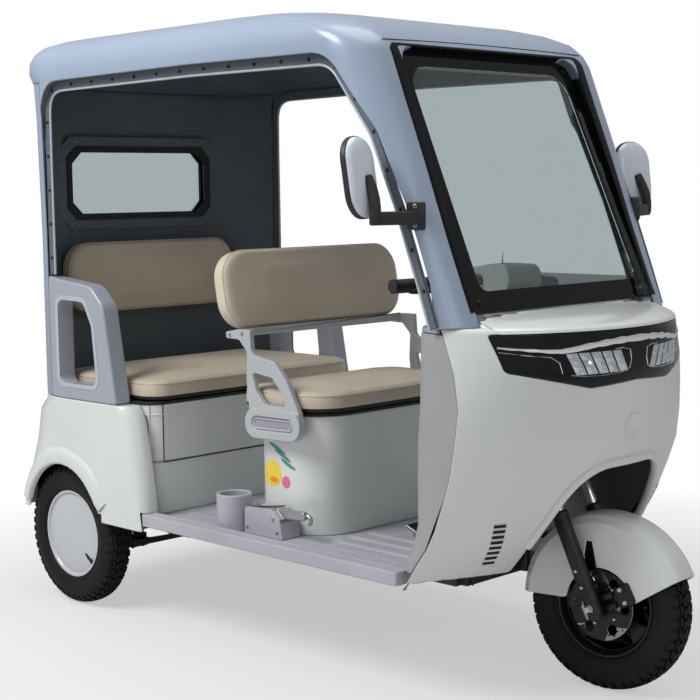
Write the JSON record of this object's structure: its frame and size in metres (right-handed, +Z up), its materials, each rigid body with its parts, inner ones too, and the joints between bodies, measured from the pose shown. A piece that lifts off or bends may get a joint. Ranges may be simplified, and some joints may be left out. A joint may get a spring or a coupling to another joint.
{
  "type": "electric tricycle",
  "caption": "Small passenger electric tricycle with a raked windscreen, cab roof, driver's seat, rear bench, steered front wheel and turning wheels.",
  "frame": {"origin": "on the ground under the middle of the vehicle's overall box", "axes": "+X forward, +Y to the vehicle's left, +Z up"},
  "size_m": [2.0274, 1.1628, 1.64],
  "materials": {
    "frame_paint": "satin black paint",
    "floor_plastic": "moulded grain",
    "white_panel": "gloss",
    "grey_liner": "fine grain",
    "lamp": "smoked gloss",
    "cab_panel": "gloss",
    "glass": "clear",
    "black_trim": "satin",
    "tail_lamp": "gloss lens",
    "seat_leather": "synthetic leather",
    "seat_frame": "satin silver grey paint",
    "bare_metal": "brushed",
    "axle_iron": "black paint on castings",
    "grip_rubber": "ribbed",
    "pale_cover": "gloss",
    "tyre": "road tyre",
    "black_rim": "satin black",
    "hubcap": "pale grey paint"
  },
  "bodies": {
    "body": {"chassis_frame": "frame_paint", "floor_pan": "floor_plastic", "front_cowl": "white_panel", "inner_liner": "grey_liner", "dashboard": "grey_liner", "headlamp": "lamp", "roof_shell": "cab_panel", "rear_wall": "cab_panel", "windscreen": "glass", "windscreen_border": "black_trim", "rear_window": "glass", "side_guard_right": "cab_panel", "side_guard_left": "cab_panel", "rear_fender_right": "white_panel", "rear_fender_left": "white_panel", "rear_panel": "white_panel", "tail_lamps": "tail_lamp", "plate_holder": "black_trim", "rear_seat_box": "white_panel", "rear_backrest": "seat_leather", "driver_seat_box": "white_panel", "driver_seat_frame": "seat_frame", "driver_backrest": "seat_leather", "seat_seals": "black_trim", "cup_holder": "floor_plastic", "parking_brake": "floor_plastic", "brake_pedal": "bare_metal", "rear_axle": "axle_iron", "leaf_springs": "frame_paint", "battery_pack": "black_trim", "wiper": "black_trim", "mirrors": "black_trim"},
    "steering": {"fork": "frame_paint", "handlebar": "frame_paint", "grips": "grip_rubber", "handlebar_cover": "pale_cover", "front_mudguard": "white_panel"},
    "front_wheel": {"front_tyre": "tyre", "front_rim": "black_rim"},
    "rear_wheel_right": {"rear_tyre_right": "tyre", "rear_rim_right": "hubcap"},
    "rear_wheel_left": {"rear_tyre_left": "tyre", "rear_rim_left": "hubcap"},
    "driver_lid": {"driver_cushion": "seat_leather"},
    "rear_lid": {"rear_cushion": "seat_leather"}
  },
  "joints": [
    {"name": "steering", "type": "hinge", "parent": "body", "child": "steering", "pos_m": [0.78208, 0, 0.19232], "axis": [-0.4226, 0, 0.9063], "range_deg": [-36, 24]},
    {"name": "front_wheel_spin", "type": "hinge", "parent": "steering", "child": "front_wheel", "pos_m": [0.80905, 0.00314, 0.20508], "axis": [-0.0947, 0.9945, -0.0442], "continuous": true},
    {"name": "rear_wheel_right_spin", "type": "hinge", "parent": "body", "child": "rear_wheel_right", "pos_m": [-0.77573, -0.398, 0.205], "axis": [0, 1, 0], "continuous": true},
    {"name": "rear_wheel_left_spin", "type": "hinge", "parent": "body", "child": "rear_wheel_left", "pos_m": [-0.77573, 0.398, 0.205], "axis": [0, 1, 0], "continuous": true},
    {"name": "driver_seat_tip", "type": "hinge", "parent": "body", "child": "driver_lid", "pos_m": [0.14327, 0, 0.6203], "axis": [0, 1, 0], "range_deg": [0, 75]},
    {"name": "rear_seat_lift", "type": "hinge", "parent": "body", "child": "rear_lid", "pos_m": [-0.42473, 0, 0.6143], "axis": [0, 1, 0], "range_deg": [0, 65]}
  ]
}
